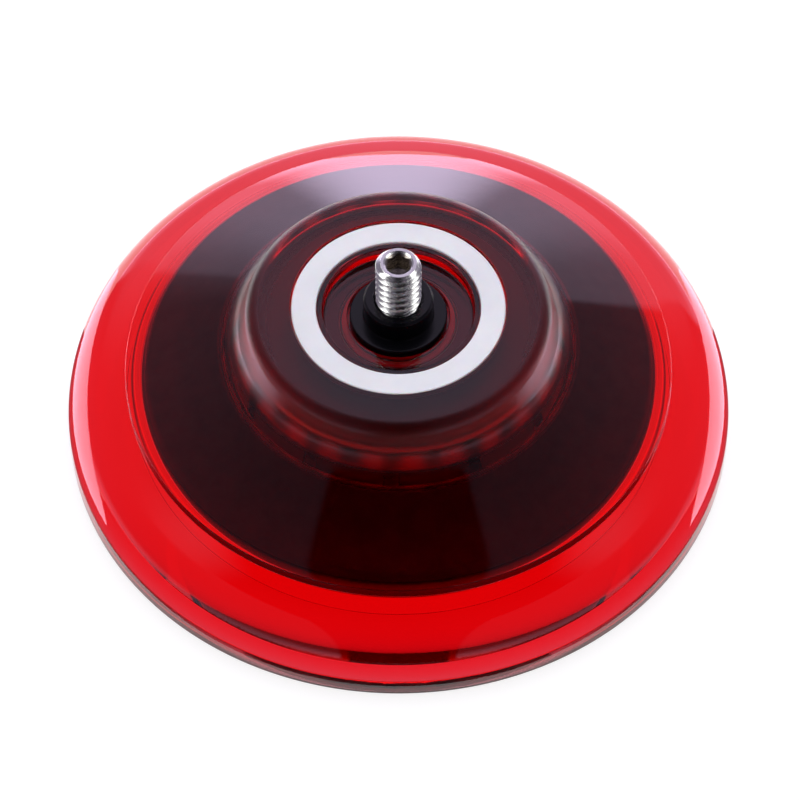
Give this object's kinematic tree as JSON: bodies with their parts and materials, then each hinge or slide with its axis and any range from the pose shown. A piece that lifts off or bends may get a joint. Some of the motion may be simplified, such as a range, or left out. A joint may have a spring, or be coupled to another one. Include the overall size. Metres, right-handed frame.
{
  "type": "yo-yo half",
  "caption": "Flared half of a take-apart ball-bearing yo-yo: translucent red cup, black side cap, bearing spacer, silicone pad ring and a threaded axle.",
  "frame": {"origin": "on the axle axis, in the plane that the rim rests on (bottom centre of the bounding box)", "axes": "+Z along the axle, from the outer rim towards the string gap; the part is a turned form about Z and +X passes between two ribs"},
  "size_m": [0.061, 0.061, 0.0231],
  "materials": {
    "cup": "polished translucent red polycarbonate",
    "cap": "black moulded ABS, gloss with a fine satin centre",
    "spacer": "turned aluminium, black anodised",
    "nut": "zinc plated steel",
    "axle": "bright stainless steel, rolled thread",
    "pad": "matt white silicone",
    "collar": "black moulded ABS",
    "adhesive": "thin transfer adhesive"
  },
  "bodies": {
    "half": {"cup_shell": "cup", "side_cap": "cap", "bearing_spacer": "spacer", "axle_nut": "nut", "response_pad": "pad", "pad_adhesive_ring": "adhesive", "hub_collar": "collar"},
    "axle": {"axle_set_screw": "axle"}
  },
  "joints": [
    {"name": "axle_travel", "type": "slide", "parent": "half", "child": "axle", "axis": [0, 0, 1], "range_m": [0, 0.0025]}
  ]
}
